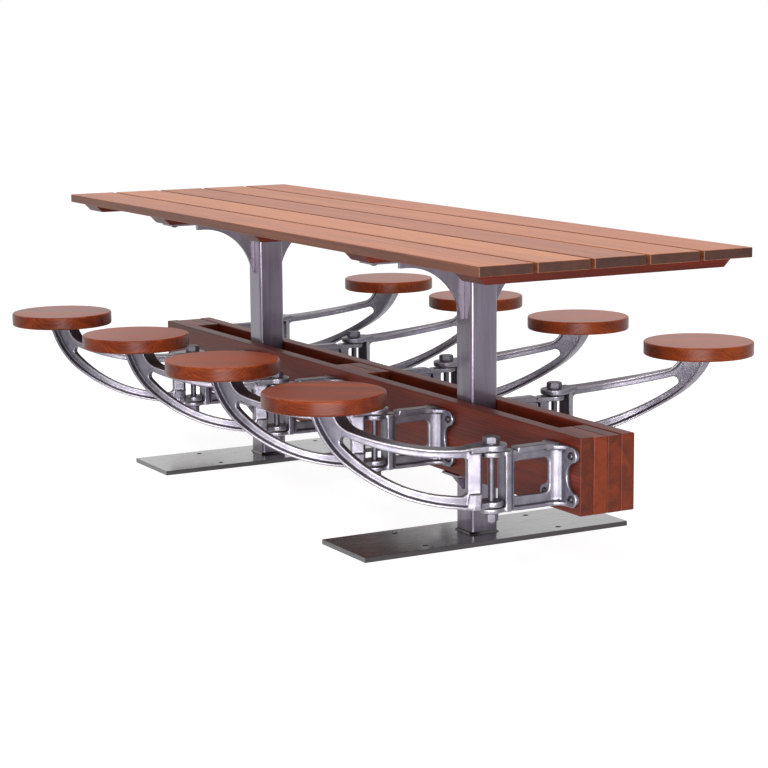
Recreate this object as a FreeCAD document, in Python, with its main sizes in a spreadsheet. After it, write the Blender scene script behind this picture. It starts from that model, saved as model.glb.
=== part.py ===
import FreeCAD, Part
import math
import os

import Sketcher
from FreeCAD import Placement, Rotation, Vector

# A plank-topped table on two welded posts, with a boxed beam between the posts and
# eight round seats. Each seat is carried by a cast arm that swings about an upright
# bolt in a cast bracket on the beam.
# Frame: origin on the floor midway between the posts, X along the table, Z up.
# The front row of seats is on the -Y side and the back row on the +Y side.

doc = FreeCAD.newDocument("swing_seat_table")

# ---------------------------------------------------------------- driving dimensions
DIMENSIONS = [
    # table top
    ("top_height", 762.0),
    ("top_length", 2424.0),
    ("plank_width", 139.7),
    ("plank_gap", 10.9),
    ("plank_thick", 24.0),
    ("plank_count", 5),
    ("eased_edge", 2.0),
    ("batten_width", 100.0),
    ("batten_thick", 24.0),
    ("batten_half", 346.0),
    ("batten_blunt", 4.0),
    ("end_batten_x", 1115.0),
    # steel frame
    ("post_x", 597.0),
    ("post_side", 76.2),
    ("post_wall", 4.8),
    ("post_corner", 8.0),
    ("crossbar_width", 63.5),
    ("crossbar_thick", 6.4),
    ("crossbar_half", 314.0),
    ("gusset_thick", 9.5),
    ("gusset_reach", 184.0),
    ("gusset_drop", 154.0),
    ("gusset_tip", 17.0),
    ("gusset_radius", 156.0),
    ("gusset_foot", 9.0),
    ("gusset_land", 21.0),
    ("base_length", 225.0),
    ("base_width", 767.0),
    ("base_thick", 12.7),
    ("anchor_pitch_x", 152.4),
    ("anchor_pitch_y", 390.0),
    ("anchor_radius", 7.0),
    # beam
    ("beam_length", 2336.0),
    ("beam_bottom", 167.4),
    ("beam_tall", 181.2),
    ("beam_plank", 36.9),
    ("spacer_ply", 38.1),
    ("spacer_drop", 1.6),
    ("end_spacer", 148.0),
    ("mid_spacer", 178.0),
    ("tab_length", 76.2),
    ("tab_reach", 42.0),
    ("tab_thick", 6.0),
    ("tab_rib_drop", 38.0),
    # seats and their places
    ("seat_top", 461.0),
    ("seat_thick", 35.5),
    ("seat_radius", 142.6),
    ("seat_edge", 4.0),
    ("seat_flats", 48),
    ("arm_reach", 379.0),
    ("hinge_pitch", 546.0),
    ("hinge_y", 265.7),
    # hinge ears, as heights from the floor
    ("arm_ear_top", 345.5),
    ("arm_ear_under", 331.0),
    ("bracket_ear_top", 328.0),
    ("bracket_ear_under", 315.5),
    ("arm_low_ear_top", 214.5),
    ("arm_low_ear_under", 201.0),
    ("bracket_low_ear_top", 198.5),
    ("bracket_low_ear_under", 187.0),
    ("arm_ear_radius", 36.0),
    ("arm_low_ear_radius", 28.0),
    ("bracket_ear_radius", 26.0),
    ("bore_radius", 8.02),
    ("knuckle_bore", 30.0),
    # castings
    ("flange_width", 32.0),
    ("flange_thick", 7.0),
    ("web_thick", 10.0),
    ("knuckle_root", 39.0),
    ("knuckle_end", 47.0),
    ("bow_reach", 184.0),
    ("bow_depth", 74.6),
    ("bow_spread", 500.0),
    ("arm_width", 44.0),
    ("arm_web", 16.0),
    ("bracket_knuckle_near", 25.0),
    ("bracket_knuckle_side", 26.0),
    ("pad_radius", 62.0),
    ("pad_thick", 8.0),
    ("plate_thick", 11.5),
    ("plate_lobe_x", 54.0),
    ("plate_lobe_high", 306.0),
    ("plate_lobe_low", 205.0),
    ("plate_lobe_radius", 20.0),
    ("plate_waist", 36.0),
    # hinge bolt and nut
    ("bolt_radius", 7.94),
    ("bolt_end", 158.0),
    ("head_clear", 0.4),
    ("head_radius", 20.0),
    ("head_tall", 16.0),
    ("nut_radius", 15.5),
    ("nut_tall", 22.0),
]

sheet = doc.addObject("Spreadsheet::Sheet", "dims")
for row, (alias, value) in enumerate(DIMENSIONS, start=1):
    sheet.set(f"A{row}", alias)
    sheet.set(f"B{row}", str(value))
    sheet.setAlias(f"B{row}", alias)
doc.recompute()

SIZES = dict(DIMENSIONS)
POSTS = [("left", -SIZES["post_x"]), ("right", SIZES["post_x"])]
ROWS = [("front", -1), ("back", 1)]
UP = Vector(0, 0, 1)


def dim(alias):
    """A driving dimension's value on the sheet, in millimetres."""
    return float(sheet.get(alias))


def bind(item, **properties):
    """Bind properties to expressions on the sheet; a double underscore stands for a dot."""
    for prop, text in properties.items():
        item.setExpression(prop.replace("__", "."), text)
    return item


# ---------------------------------------------------------------- helpers
EXPORTED = []


def sub_part(item, label):
    """Name an object as one of the physical pieces that are written to parts/."""
    item.Label = label
    EXPORTED.append(item)
    return item


def new_body(name):
    return doc.addObject("PartDesign::Body", name)


def new_sketch(body, name, plane, offset=0.0):
    """A sketch on one of the body's own origin planes, moved along the plane's normal."""
    sketch = body.newObject("Sketcher::SketchObject", name)
    support = [f for f in body.Origin.OriginFeatures if f.Role == plane][0]
    sketch.AttachmentSupport = [(support, "")]
    sketch.MapMode = "FlatFace"
    sketch.AttachmentOffset = Placement(Vector(0, 0, offset), Rotation())
    return sketch


def polygon(sketch, points):
    """A closed polygon with joined corners; returns its first edge's number."""
    count = len(points)
    first = sketch.GeometryCount
    for k in range(count):
        start = Vector(*points[k], 0)
        end = Vector(*points[(k + 1) % count], 0)
        sketch.addGeometry(Part.LineSegment(start, end), False)
    for k in range(count):
        here = first + k
        after = first + (k + 1) % count
        sketch.addConstraint(Sketcher.Constraint("Coincident", here, 2, after, 1))
    return first


def rectangle(sketch, width, height, center=(0.0, 0.0)):
    """A rectangle with its sides and place held by expressions on the sheet."""
    (width_text, wide), (height_text, tall) = width, height
    cx, cy = center
    left = cx - wide / 2
    low = cy - tall / 2
    corners = [(left, low), (left + wide, low), (left + wide, low + tall), (left, low + tall)]
    first = polygon(sketch, corners)
    for edge, kind in enumerate(["Horizontal", "Vertical", "Horizontal", "Vertical"]):
        sketch.addConstraint(Sketcher.Constraint(kind, first + edge))
    rules = [
        ("DistanceX", first, 1, first, 2, wide, width_text),
        ("DistanceY", first + 1, 1, first + 1, 2, tall, height_text),
        ("DistanceX", -1, 1, first, 1, left, f"{cx} - ({width_text}) / 2"),
        ("DistanceY", -1, 1, first, 1, low, f"{cy} - ({height_text}) / 2"),
    ]
    for kind, edge_a, end_a, edge_b, end_b, value, text in rules:
        rule = Sketcher.Constraint(kind, edge_a, end_a, edge_b, end_b, value)
        number = sketch.addConstraint(rule)
        sketch.setExpression(f"Constraints[{number}]", text)


def circle(sketch, radius, center=(0.0, 0.0)):
    """A circle whose radius is bound to an expression."""
    text, value = radius
    number = sketch.addGeometry(Part.Circle(Vector(*center, 0), UP, value), False)
    size = sketch.addConstraint(Sketcher.Constraint("Radius", number, value))
    sketch.setExpression(f"Constraints[{size}]", text)


def cell(alias):
    """An expression and its value, for the helpers that need both."""
    return f"dims.{alias}", dim(alias)


def extrude(body, kind, sketch, length, name, midplane=False, reverse=False):
    """A pad or pocket of a bound length."""
    feature = body.newObject(f"PartDesign::{kind}", name)
    feature.Profile = sketch
    feature.Midplane = midplane
    feature.Reversed = reverse
    feature.setExpression("Length", length)
    return feature


def ease(body, base, name, picks):
    """Chamfer the edges of a feature that the test picks out."""
    doc.recompute()
    edges = [f"Edge{k + 1}" for k, edge in enumerate(base.Shape.Edges) if picks(edge.BoundBox)]
    chamfer = body.newObject("PartDesign::Chamfer", name)
    chamfer.Base = (base, edges)
    return chamfer


def round_flats(center, radius, start, end, count):
    """Points along a round stretch, drawn as a number of flats between two angles."""
    points = []
    for k in range(count + 1):
        angle = math.radians(start + (end - start) * k / count)
        points.append((center[0] + radius * math.cos(angle), center[1] + radius * math.sin(angle)))
    return points


def bend_flats(start, through, end, count):
    """Points along the arc through three points, drawn as a number of flats."""
    curve = Part.Arc(Vector(*start, 0), Vector(*through, 0), Vector(*end, 0))
    first, last = curve.FirstParameter, curve.LastParameter
    points = []
    for k in range(count + 1):
        point = curve.value(first + (last - first) * k / count)
        points.append((point.x, point.y))
    if math.dist(points[0], start) > math.dist(points[-1], start):
        points.reverse()
    return points


def chain(*runs):
    """Join runs of points into one line, without the doubled points where they meet."""
    points = []
    for run in runs:
        for point in run:
            if not points or math.dist(points[-1], point) > 0.01:
                points.append(point)
    return points


def shifted(points, distance):
    """An open line of points moved sideways, to the left of the way it runs."""
    moved = []
    for k, (x, z) in enumerate(points):
        ax, az = points[max(k - 1, 0)]
        bx, bz = points[min(k + 1, len(points) - 1)]
        run = math.hypot(bx - ax, bz - az)
        moved.append((x - distance * (bz - az) / run, z + distance * (bx - ax) / run))
    return moved


def placed(item, x, y, turn, z=0.0):
    """Place an object, turned about the vertical."""
    item.Placement = Placement(Vector(x, y, z), Rotation(UP, turn))
    return item


def group(label, members):
    """One sub-part made of separate solids."""
    item = doc.addObject("Part::Compound", label)
    item.Links = members
    return sub_part(item, label)


# ---------------------------------------------------------------- table top
def make_top_plank(number):
    """One board of the top, its upper edges eased."""
    body = new_body(f"top_plank_{number}")
    sketch = new_sketch(body, f"plank_plan_{number}", "XY_Plane")
    rectangle(sketch, cell("top_length"), cell("plank_width"))
    board = extrude(body, "Pad", sketch, "dims.plank_thick", f"plank_board_{number}")
    thick = dim("plank_thick")
    rim = ease(body, board, f"plank_ease_{number}", lambda box: box.ZMin > thick - 0.01)
    bind(rim, Size="dims.eased_edge")
    steps = number - (dim("plank_count") + 1) / 2
    bind(
        body,
        Placement__Base__y=f"{steps} * (dims.plank_width + dims.plank_gap)",
        Placement__Base__z="dims.top_height - dims.plank_thick",
    )
    return sub_part(body, body.Name)


def make_batten(number, x):
    """A cross board under the planks, its lower ends cut back at 45 degrees."""
    body = new_body(f"top_batten_{number}")
    sketch = new_sketch(body, f"batten_side_{number}", "YZ_Plane")
    half = dim("batten_half")
    deep = dim("batten_thick")
    blunt = dim("batten_blunt")
    low_half = half - (deep - blunt)
    outline = [(low_half, -deep), (half, -blunt), (half, 0)]
    polygon(sketch, outline + [(-y, z) for y, z in reversed(outline)])
    extrude(body, "Pad", sketch, "dims.batten_width", f"batten_board_{number}", midplane=True)
    placed(body, x, 0, 0)
    bind(body, Placement__Base__z="dims.top_height - dims.plank_thick")
    return sub_part(body, body.Name)


# ---------------------------------------------------------------- steel frame
def crossbar_under():
    """Height of the crossbars' lower faces, where the posts end."""
    return dim("top_height") - dim("plank_thick") - dim("batten_thick") - dim("crossbar_thick")


def make_crossbar(side, x):
    """The flat steel bar across the head of a post."""
    body = new_body(f"top_crossbar_{side}")
    sketch = new_sketch(body, f"crossbar_plan_{side}", "XY_Plane")
    rectangle(sketch, cell("crossbar_width"), ("dims.crossbar_half * 2", dim("crossbar_half") * 2))
    extrude(body, "Pad", sketch, "dims.crossbar_thick", f"crossbar_flat_{side}")
    placed(body, x, 0, 0, crossbar_under())
    return sub_part(body, body.Name)


def make_post(side, x):
    """A square steel tube from the base plate up to the crossbar."""
    body = new_body(f"post_{side}")
    sketch = new_sketch(body, f"post_section_{side}", "XY_Plane")
    half = dim("post_side") / 2
    inner = half - dim("post_corner")
    corners = [(inner, inner, 0), (-inner, inner, 90), (-inner, -inner, 180), (inner, -inner, 270)]
    outline = []
    for cx, cy, start in corners:
        outline += round_flats((cx, cy), dim("post_corner"), start, start + 90, 3)
    polygon(sketch, outline)
    hollow = half - dim("post_wall")
    polygon(sketch, [(-hollow, -hollow), (hollow, -hollow), (hollow, hollow), (-hollow, hollow)])
    rise = "dims.top_height - dims.plank_thick - dims.batten_thick"
    rise += " - dims.crossbar_thick - dims.base_thick"
    extrude(body, "Pad", sketch, rise, f"post_tube_{side}")
    placed(body, x, 0, 0)
    bind(body, Placement__Base__z="dims.base_thick")
    return sub_part(body, body.Name)


def make_gusset(name, x, turn):
    """A web plate between post and crossbar, its free edge a hollow quarter round."""
    body = new_body(name)
    sketch = new_sketch(body, f"{name}_side", "YZ_Plane")
    face = dim("post_side") / 2
    top = crossbar_under()
    tip = face + dim("gusset_reach")
    lip = top - dim("gusset_tip")
    foot = face + dim("gusset_foot")
    land = tip - dim("gusset_land")
    radius = dim("gusset_radius")
    foot_angle = 180 - math.degrees(math.acos((land - foot) / radius))
    hollow = round_flats((land, lip - radius), radius, 90, foot_angle, 9)
    low = top - dim("gusset_drop")
    outline = [(face, low), (face, top), (tip, top), (tip, lip)]
    polygon(sketch, chain(outline, hollow, [(foot, low)]))
    extrude(body, "Pad", sketch, "dims.gusset_thick", f"{name}_plate", midplane=True)
    return placed(body, x, 0, turn)


def make_base_plate(side, x):
    """The floor plate of a post, with four anchor holes."""
    body = new_body(f"base_plate_{side}")
    sketch = new_sketch(body, f"base_plan_{side}", "XY_Plane")
    rectangle(sketch, cell("base_length"), cell("base_width"))
    extrude(body, "Pad", sketch, "dims.base_thick", f"base_flat_{side}")
    holes = new_sketch(body, f"base_holes_{side}", "XY_Plane")
    for across in (-1, 1):
        for along in (-1, 1):
            place = (across * dim("anchor_pitch_x") / 2, along * dim("anchor_pitch_y") / 2)
            circle(holes, cell("anchor_radius"), place)
    extrude(body, "Pocket", holes, "dims.base_thick * 2", f"base_drill_{side}", midplane=True)
    placed(body, x, 0, 0)
    return sub_part(body, body.Name)


# ---------------------------------------------------------------- beam
def beam_face():
    """Distance of the beam's outer faces from the middle plane."""
    return dim("post_side") / 2 + dim("beam_plank")


def make_beam_plank(word, facing):
    """One of the two long boards that clasp the posts."""
    body = new_body(f"beam_plank_{word}")
    sketch = new_sketch(body, f"beam_section_{word}", "YZ_Plane")
    rectangle(sketch, cell("beam_plank"), cell("beam_tall"))
    board = extrude(body, "Pad", sketch, "dims.beam_length", f"beam_board_{word}", midplane=True)
    length = dim("beam_length")
    arris = ease(body, board, f"beam_ease_{word}", lambda box: box.XLength > length - 1)
    bind(arris, Size="dims.eased_edge")
    bind(
        body,
        Placement__Base__y=f"{facing} * (dims.post_side + dims.beam_plank) / 2",
        Placement__Base__z="dims.beam_bottom + dims.beam_tall / 2",
    )
    return sub_part(body, body.Name)


def make_spacers():
    """Three pairs of filler blocks between the beam planks."""
    blocks = []
    end_x = dim("beam_length") / 2 - dim("end_spacer") / 2
    places = [("left", -end_x, "end_spacer"), ("mid", 0.0, "mid_spacer"), ("right", end_x, "end_spacer")]
    for place, x, length in places:
        for word, facing in ROWS:
            block = doc.addObject("Part::Box", f"spacer_{place}_{word}")
            low_y = min(facing * dim("spacer_ply"), 0.0)
            placed(block, x - dim(length) / 2, low_y, 0)
            bind(
                block,
                Length=f"dims.{length}",
                Width="dims.spacer_ply",
                Height="dims.beam_tall - dims.spacer_drop",
                Placement__Base__z="dims.beam_bottom",
            )
            blocks.append(block)
    return group("beam_spacers", blocks)


def make_tab(name, x, turn):
    """A small shelf welded to the post under a beam plank, with a stiffener below it."""
    body = new_body(name)
    face = dim("post_side") / 2
    reach = dim("tab_reach")
    under = dim("beam_bottom") - dim("tab_thick")
    plan = new_sketch(body, f"{name}_plan", "XY_Plane", under)
    rectangle(plan, cell("tab_length"), cell("tab_reach"), (0.0, face + reach / 2))
    extrude(body, "Pad", plan, "dims.tab_thick", f"{name}_shelf")
    side = new_sketch(body, f"{name}_side", "YZ_Plane")
    foot = under - dim("tab_rib_drop")
    thick = dim("tab_thick")
    polygon(side, [(face, foot), (face + thick, foot), (face + reach - thick, under), (face, under)])
    extrude(body, "Pad", side, "dims.tab_thick", f"{name}_rib", midplane=True)
    return placed(body, x, 0, turn)


def make_on_posts(label, maker):
    """One welded plate on each side of each post, as one sub-part."""
    plates = []
    for side, x in POSTS:
        for word, facing in ROWS:
            turn = 0 if facing > 0 else 180
            plates.append(maker(f"{label}_{side}_{word}", x, turn))
    return group(label, plates)


# ---------------------------------------------------------------- castings
# Both castings are drawn outward from the hinge axis: distance from the axis, height
# from the floor. Each is a web with flanges round its rim, pierced by a window. An
# upright knuckle at the hinge end joins the two ears. Its hollow lets the ears of the
# other casting turn inside it, and it stands to one side, so that the arm can swing.


def ear(body, name, radius, heading, tail, low, length):
    """A hinge ear: round about the bolt, drawn in to the knuckle behind it."""
    sketch = new_sketch(body, f"{name}_plan", "XY_Plane", low)
    polygon(sketch, round_flats((0, 0), radius, heading + 60, heading + 300, 12) + tail)
    extrude(body, "Pad", sketch, length, name)


def bore(body, name, radius, low, length):
    """An upright round cut about the bolt axis."""
    sketch = new_sketch(body, f"{name}_plan", "XY_Plane", low)
    circle(sketch, cell(radius))
    extrude(body, "Pocket", sketch, length, name, reverse=True)


def hinge_end(body, name, block, heading, tail, heights, radii):
    """The knuckle, both ears and both bores of a casting."""
    ear_top, ear_under, low_top, low_under = heights
    tall = f"dims.{ear_top} - dims.{low_under}"
    low = dim(low_under)
    sketch = new_sketch(body, f"{name}_knuckle_plan", "XY_Plane", low)
    polygon(sketch, block)
    extrude(body, "Pad", sketch, tall, f"{name}_knuckle")
    gap = f"dims.{ear_under} - dims.{low_top}"
    bore(body, f"{name}_knuckle_bore", "knuckle_bore", dim(low_top), gap)
    ear_tall = f"dims.{ear_top} - dims.{ear_under}"
    ear(body, f"{name}_ear", radii[0], heading, tail, dim(ear_under), ear_tall)
    ear_tall = f"dims.{low_top} - dims.{low_under}"
    ear(body, f"{name}_low_ear", radii[1], heading, tail, low, ear_tall)
    bore(body, f"{name}_bolt_bore", "bore_radius", low - 1, f"{tall} + 2")


def recess(body, name, outline):
    """The same outline sunk into both sides of a casting, leaving its web."""
    deep = "(dims.flange_width - dims.web_thick) / 2"
    for word, side in ROWS:
        sketch = new_sketch(body, f"{name}_{word}", "XZ_Plane", side * dim("flange_width") / 2)
        polygon(sketch, outline)
        extrude(body, "Pocket", sketch, deep, f"{name}_cut_{word}", reverse=side < 0)


def pierce(body, name, outline):
    """A window right through a casting."""
    sketch = new_sketch(body, name, "XZ_Plane")
    polygon(sketch, outline)
    extrude(body, "Pocket", sketch, "dims.bow_spread", f"{name}_cut", midplane=True)


# The arm's web is bowed to one side, as seen from above, in a parabola from the knuckle
# to the seat. For each station on the way outward: its distance from the hinge axis,
# and the heights of the lower and the upper rim there; then the same for the hollow.
ARM_RIMS = [
    (50, 204.5, 342.7),
    (90, 210.0, 343.8),
    (130, 217.4, 346.4),
    (170, 227.8, 351.3),
    (210, 242.0, 358.0),
    (250, 260.8, 366.2),
    (290, 282.5, 376.0),
    (322, 307.0, 388.5),
    (336, 321.0, 400.0),
    (343, 328.0, 418.5),
    (366, 349.0, 418.5),
    (385, 374.0, 418.5),
    (396, 395.0, 418.5),
    (402, 409.0, 418.5),
]
ARM_HOLLOWS = [
    (58, 213.0, 335.0),
    (90, 217.2, 336.6),
    (130, 224.8, 339.0),
    (170, 235.4, 344.0),
    (210, 250.0, 350.5),
    (250, 269.0, 358.5),
    (290, 291.5, 368.0),
    (322, 317.5, 379.5),
    (336, 331.5, 388.0),
    (343, 339.0, 395.0),
    (352, 348.0, 410.0),
    (366, 361.0, 411.0),
    (385, 389.0, 411.0),
]


def bow(reach):
    """The arm's centre line from above: how far it stands to the side, and its heading."""
    along = reach - dim("bow_reach")
    side = dim("bow_depth") - along**2 / dim("bow_spread")
    return side, -math.degrees(math.atan(2 * along / dim("bow_spread")))


def beside(reach, offset):
    """A point beside the arm's centre line, as seen from above."""
    side, heading = bow(reach)
    turn = math.radians(heading)
    return reach - offset * math.sin(turn), side + offset * math.cos(turn)


def sections(body, kind, name, stations, near, far):
    """A straight-sided loft through upright sections that stand square to the bow."""
    sketches = []
    for number, (reach, low, high) in enumerate(stations, start=1):
        sketch = new_sketch(body, f"{name}_{number}", "YZ_Plane")
        side, heading = bow(reach)
        turn = Rotation(Vector(0, 1, 0), heading)
        sketch.AttachmentOffset = Placement(Vector(side, 0, reach), turn)
        polygon(sketch, [(near, low), (far, low), (far, high), (near, high)])
        sketches.append(sketch)
    loft = body.newObject(f"PartDesign::{kind}", name)
    loft.Profile = sketches[0]
    loft.Sections = sketches[1:]
    loft.Ruled = True
    return loft


def make_swing_arm():
    """The cast arm: two ears, a long bowed and windowed web with flanges, the seat pad."""
    body = new_body("swing_arm_master")
    half = dim("arm_width") / 2
    web = dim("arm_web") / 2
    sections(body, "AdditiveLoft", "arm_blank", ARM_RIMS, -half, half)
    sections(body, "SubtractiveLoft", "arm_hollow_left", ARM_HOLLOWS, web, half + 2)
    sections(body, "SubtractiveLoft", "arm_hollow_right", ARM_HOLLOWS, -half - 2, -web)

    window_top = chain([(52, 309), (56, 318), (67, 321)], bend_flats((88, 321.5), (215, 336), (326, 363), 6))
    window_tip = [(337, 361), (341, 352)]
    window_low = bend_flats((328, 336), (219, 271), (88, 235), 7)
    window_heel = [(64, 232), (55, 236), (51, 248)]
    pierce(body, "arm_window", chain(window_top, window_tip, window_low, window_heel))

    heel = ARM_RIMS[0][0]
    tail = [beside(heel, -half), beside(heel, half)]
    block = [(20, 22), (28, 38), beside(heel + 6, web + 5), beside(heel + 6, -web - 5), (40, 0), (30, -8)]
    heights = ("arm_ear_top", "arm_ear_under", "arm_low_ear_top", "arm_low_ear_under")
    radii = (dim("arm_ear_radius"), dim("arm_low_ear_radius"))
    hinge_end(body, "arm", block, bow(heel)[1], tail, heights, radii)

    pad_low = dim("seat_top") - dim("seat_thick") - dim("pad_thick")
    plan = new_sketch(body, "arm_pad_plan", "XY_Plane", pad_low)
    polygon(plan, round_flats((dim("arm_reach"), 0), dim("pad_radius"), 11.25, 348.75, 15))
    extrude(body, "Pad", plan, "dims.pad_thick", "arm_pad")
    return body


def lobed_outline():
    """Outline of the bracket's plate: a lobe at each corner and a waist at each side."""
    across = dim("plate_lobe_x")
    high = dim("plate_lobe_high")
    low = dim("plate_lobe_low")
    middle = (high + low) / 2
    radius = dim("plate_lobe_radius")
    slant = radius * math.sqrt(0.5)
    waist = bend_flats(
        (across + slant, low + slant),
        (dim("plate_waist"), middle),
        (across + slant, high - slant),
        6,
    )
    right = chain(
        round_flats((across, low), radius, -90, 45, 5),
        waist,
        round_flats((across, high), radius, -45, 90, 5),
    )
    return right + [(-y, 2 * middle - z) for y, z in right]


def make_hinge_bracket():
    """The cast bracket: two ears, a windowed web with flanges, and the lobed plate."""
    body = new_body("hinge_bracket_master")
    root = dim("knuckle_root")
    end = dim("knuckle_end")
    front = dim("hinge_y") - beam_face() - dim("plate_thick")
    ear_top = dim("bracket_ear_top")
    ear_low = dim("bracket_low_ear_under")
    top = ear_top + 3
    low = ear_low - 1
    side = new_sketch(body, "bracket_side", "XZ_Plane")
    shoulder = [(end + 10, top), (end + 7, ear_top), (root, ear_top)]
    polygon(side, [(root, ear_low), (end + 13, low), (front + 1, low), (front + 1, top)] + shoulder)
    extrude(body, "Pad", side, "dims.flange_width", "bracket_blank", midplane=True)

    thick = dim("flange_thick")
    sunk = [(end + 2, low + thick), (front - 8, low + thick), (front - 2, low + thick + 6)]
    raised = [(front - 2, top - thick - 6), (front - 8, top - thick), (end + 2, top - thick - 3)]
    recess(body, "bracket_recess", sunk + raised)
    window = chain(
        round_flats((71, 229), 12, 180, 270, 3),
        round_flats((144, 229), 12, 270, 360, 3),
        round_flats((144, 287), 12, 0, 90, 3),
        round_flats((71, 287), 12, 90, 180, 3),
    )
    pierce(body, "bracket_window", window)

    heights = (
        "bracket_ear_top",
        "bracket_ear_under",
        "bracket_low_ear_top",
        "bracket_low_ear_under",
    )
    radii = (dim("bracket_ear_radius"), dim("bracket_ear_radius"))
    near = dim("bracket_knuckle_near")
    out = dim("bracket_knuckle_side")
    rib = dim("flange_width") / 2
    block = [(near, -out), (near, rib), (end, rib), (end, -rib), (end - 7, -out)]
    hinge_end(body, "bracket", block, 0, [(end, -rib), (end, rib)], heights, radii)

    plate = new_sketch(body, "bracket_plate", "YZ_Plane", front)
    polygon(plate, lobed_outline())
    extrude(body, "Pad", plate, "dims.plate_thick", "bracket_mount")
    return body


# ---------------------------------------------------------------- seats and bolts
def make_seat():
    """A round hardwood seat, drawn with flats, its rims eased."""
    body = new_body("seat_master")
    disc = body.newObject("PartDesign::AdditivePrism", "seat_disc")
    bind(
        disc,
        Polygon="dims.seat_flats",
        Circumradius="dims.seat_radius",
        Height="dims.seat_thick",
    )
    rims = ease(body, disc, "seat_rims", lambda box: box.ZLength < 0.01)
    bind(rims, Size="dims.seat_edge")
    return body


def make_hinge_bolt(name, x, y, turn):
    """A hinge bolt: hex head above the arm's ear, shank down through all four ears."""
    head = doc.addObject("Part::Prism", f"{name}_head")
    placed(head, x, y, turn)
    bind(
        head,
        Circumradius="dims.head_radius",
        Height="dims.head_tall",
        Placement__Base__z="dims.arm_ear_top + dims.head_clear",
    )
    shank = doc.addObject("Part::Cylinder", f"{name}_shank")
    placed(shank, x, y, turn)
    bind(
        shank,
        Radius="dims.bolt_radius",
        Height="dims.arm_ear_top + dims.head_clear + 1 - dims.bolt_end",
        Placement__Base__z="dims.bolt_end",
    )
    bolt = doc.addObject("Part::Fuse", name)
    bolt.Base = head
    bolt.Tool = shank
    return bolt


def make_hinge_nut(name, x, y, turn):
    """The nut drawn up under the bracket's lower ear."""
    blank = doc.addObject("Part::Prism", f"{name}_blank")
    hole = doc.addObject("Part::Cylinder", f"{name}_hole")
    for item in (blank, hole):
        placed(item, x, y, turn)
        bind(
            item,
            Height="dims.nut_tall",
            Placement__Base__z="dims.bracket_low_ear_under - dims.nut_tall",
        )
    bind(blank, Circumradius="dims.nut_radius")
    bind(hole, Radius="dims.bore_radius")
    nut = doc.addObject("Part::Cut", name)
    nut.Base = blank
    nut.Tool = hole
    return nut


# ---------------------------------------------------------------- assembly
# At rest each seat is folded back a little from straight out, clockwise from above.
# For each hinge: its row, its place along the beam in hinge pitches, and that angle.
HINGES = [
    ("front_1", -1, 32.2),
    ("front_2", 0, 34.1),
    ("front_3", 1, 36.4),
    ("front_4", 2, 35.3),
    ("back_1", -2, 18.3),
    ("back_2", -1, 17.4),
    ("back_3", 0, 19.8),
    ("back_4", 1, 23.2),
]

for number in range(1, int(dim("plank_count")) + 1):
    make_top_plank(number)

end_x = dim("end_batten_x")
mid_x = dim("post_x")
for number, x in enumerate([-end_x, -mid_x, 0.0, mid_x, end_x], start=1):
    make_batten(number, x)

for side, x in POSTS:
    make_crossbar(side, x)
    make_post(side, x)
    make_base_plate(side, x)
make_on_posts("post_gussets", make_gusset)
make_on_posts("beam_tabs", make_tab)

for word, facing in ROWS:
    make_beam_plank(word, facing)
make_spacers()

masters = {"hinge_bracket": make_hinge_bracket(), "swing_arm": make_swing_arm(), "seat": make_seat()}
bolts = []
nuts = []
seat_low = dim("seat_top") - dim("seat_thick")
for name, step, fold in HINGES:
    facing = -1 if name.startswith("front") else 1
    x = step * dim("hinge_pitch")
    y = facing * dim("hinge_y")
    inward = -90 * facing
    outward = 90 * facing - fold
    reach = dim("arm_reach")
    seat_x = x + reach * math.cos(math.radians(outward))
    seat_y = y + reach * math.sin(math.radians(outward))
    places = {
        "hinge_bracket": (x, y, inward, 0.0),
        "swing_arm": (x, y, outward, 0.0),
        "seat": (seat_x, seat_y, outward, seat_low),
    }
    for kind, (at_x, at_y, turn, at_z) in places.items():
        casting = doc.addObject("Part::Compound", f"{kind}_{name}")
        casting.Links = [masters[kind]]
        placed(casting, at_x, at_y, turn, at_z)
        sub_part(casting, casting.Name)
    bolts.append(make_hinge_bolt(f"hinge_bolt_{name}", x, y, inward))
    nuts.append(make_hinge_nut(f"hinge_nut_{name}", x, y, inward))
group("hinge_bolts", bolts)
group("hinge_nuts", nuts)

# ---------------------------------------------------------------- checks and export
doc.recompute()
for item in doc.Objects:
    if "Invalid" in item.State or "Error" in item.State:
        raise RuntimeError(f"{item.Name} failed: {item.State}")
for item in EXPORTED:
    if item.Shape.isNull() or not item.Shape.isValid():
        raise RuntimeError(f"{item.Label} has no valid shape")

os.makedirs("parts", exist_ok=True)
for item in EXPORTED:
    item.Shape.exportStep(f"parts/{item.Label}.step")
print(f"{len(EXPORTED)} sub-parts written")
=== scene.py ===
import math

import bmesh
import bpy
from mathutils import Matrix, Vector


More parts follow.
